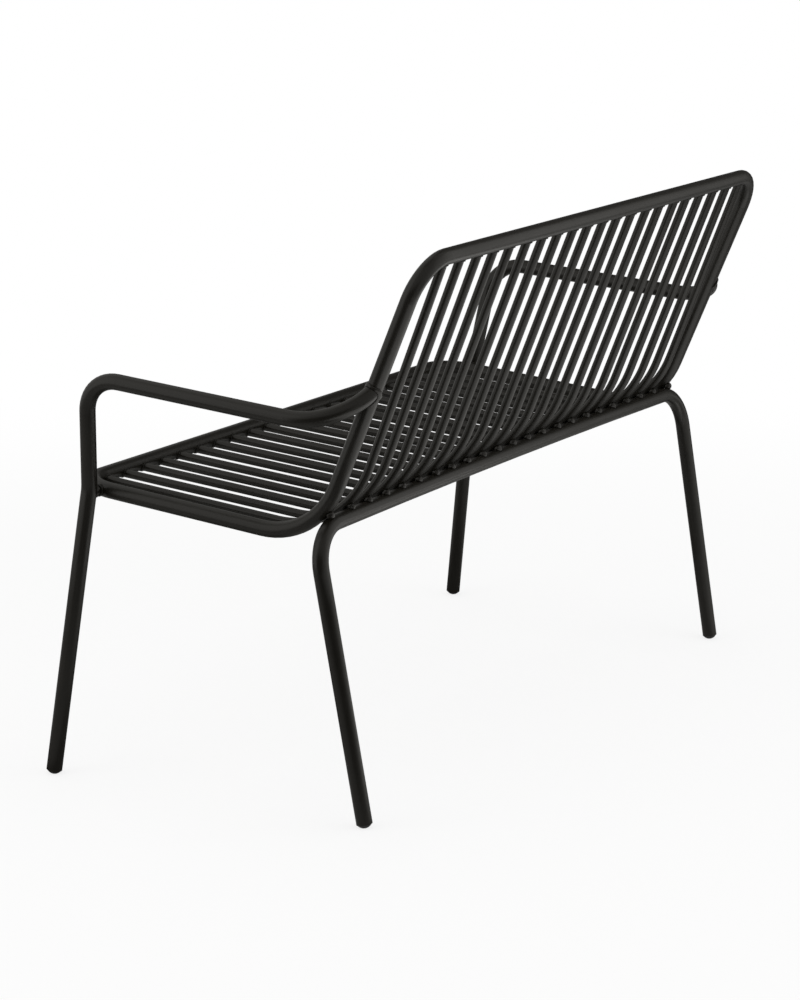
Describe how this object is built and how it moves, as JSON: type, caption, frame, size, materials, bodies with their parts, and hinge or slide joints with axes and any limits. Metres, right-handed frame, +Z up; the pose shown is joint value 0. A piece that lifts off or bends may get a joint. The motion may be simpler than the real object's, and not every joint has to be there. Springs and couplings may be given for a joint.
{
  "type": "patio loveseat",
  "caption": "Welded tubular steel garden bench for two with round vertical slats, open tube arms and splayed legs, powder coated.",
  "frame": {"origin": "on the floor at the middle of the footprint", "axes": "+X to the sitter's left, -Y to the front, +Z up"},
  "size_m": [1.1538, 0.5816, 0.7658],
  "materials": {
    "powder_coat": "satin near-black powder coat with a fine texture",
    "glide_plastic": "matte"
  },
  "bodies": {
    "root": {"seat_back_hoop": "powder_coat", "front_rail": "powder_coat", "rear_leg_frame": "powder_coat", "left_arm_and_front_leg": "powder_coat", "right_arm_and_front_leg": "powder_coat", "slat_01": "powder_coat", "slat_02": "powder_coat", "slat_03": "powder_coat", "slat_04": "powder_coat", "slat_05": "powder_coat", "slat_06": "powder_coat", "slat_07": "powder_coat", "slat_08": "powder_coat", "slat_09": "powder_coat", "slat_10": "powder_coat", "slat_11": "powder_coat", "slat_12": "powder_coat", "slat_13": "powder_coat", "slat_14": "powder_coat", "slat_15": "powder_coat", "slat_16": "powder_coat", "slat_17": "powder_coat", "slat_18": "powder_coat", "slat_19": "powder_coat", "slat_20": "powder_coat", "slat_21": "powder_coat", "left_knee_spacer": "powder_coat", "right_knee_spacer": "powder_coat", "welds_arm_ends": "powder_coat", "welds_knee_spacers": "powder_coat", "welds_slats_front_rail": "powder_coat", "welds_slats_top_rail": "powder_coat", "welds_slats_rear_rail": "powder_coat", "welds_hoop_rear_frame": "powder_coat", "front_left_foot_glide": "glide_plastic", "front_right_foot_glide": "glide_plastic", "rear_left_foot_glide": "glide_plastic", "rear_right_foot_glide": "glide_plastic"}
  },
  "joints": []
}
